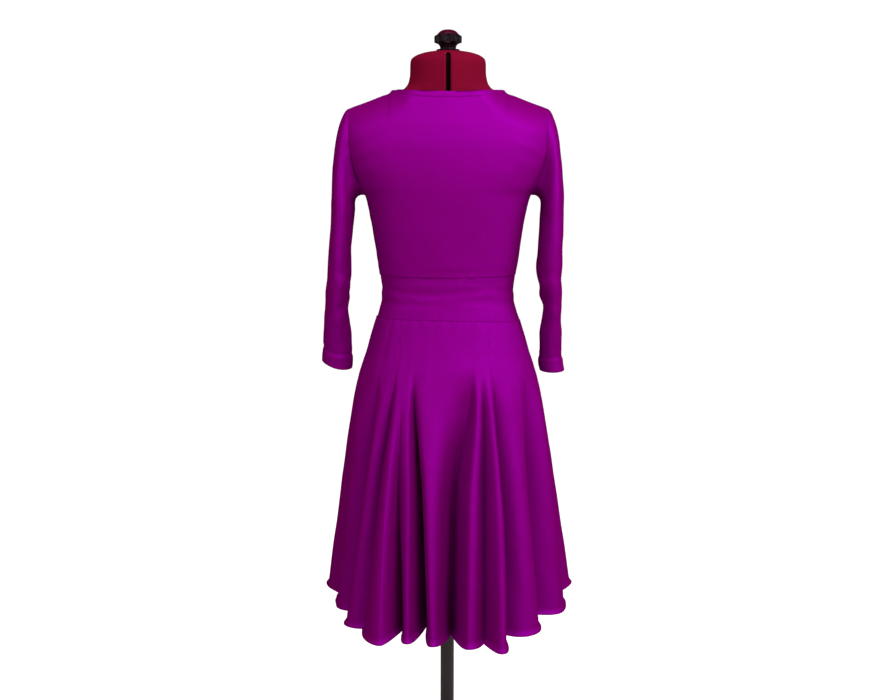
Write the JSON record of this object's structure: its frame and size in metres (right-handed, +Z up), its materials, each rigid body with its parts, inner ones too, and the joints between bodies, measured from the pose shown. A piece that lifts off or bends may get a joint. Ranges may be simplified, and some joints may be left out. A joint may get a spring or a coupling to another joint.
{
  "type": "dance dress on dress form",
  "caption": "Long-sleeved stretch dance dress with a flared, fluted skirt of gores, worn on a limbless dress form with a knob, pole and round foot.",
  "frame": {"origin": "centre of the foot's underside, on the pole's axis, on the floor", "axes": "+Z up along the pole; -Y is the way the dress's back faces, which is the side in the picture; +Y is the way its front faces; +X is the wearer's right side"},
  "size_m": [0.4926, 0.537, 1.4994],
  "materials": {
    "purple_satin": "stretch knit with a satin sheen",
    "burgundy_jersey": "matt knit cover",
    "black_plastic": "polished moulding",
    "black_steel": "satin black paint"
  },
  "bodies": {
    "root": {"bodice_back": "purple_satin", "bodice_front": "purple_satin", "sleeve_left": "purple_satin", "sleeve_right": "purple_satin", "waistband_back": "purple_satin", "waistband_front": "purple_satin", "skirt_back": "purple_satin", "skirt_side_back_right": "purple_satin", "skirt_side_front_right": "purple_satin", "skirt_front": "purple_satin", "skirt_side_front_left": "purple_satin", "skirt_side_back_left": "purple_satin", "form_body": "burgundy_jersey", "knob": "black_plastic", "pole": "black_steel", "base": "black_steel"}
  },
  "joints": []
}
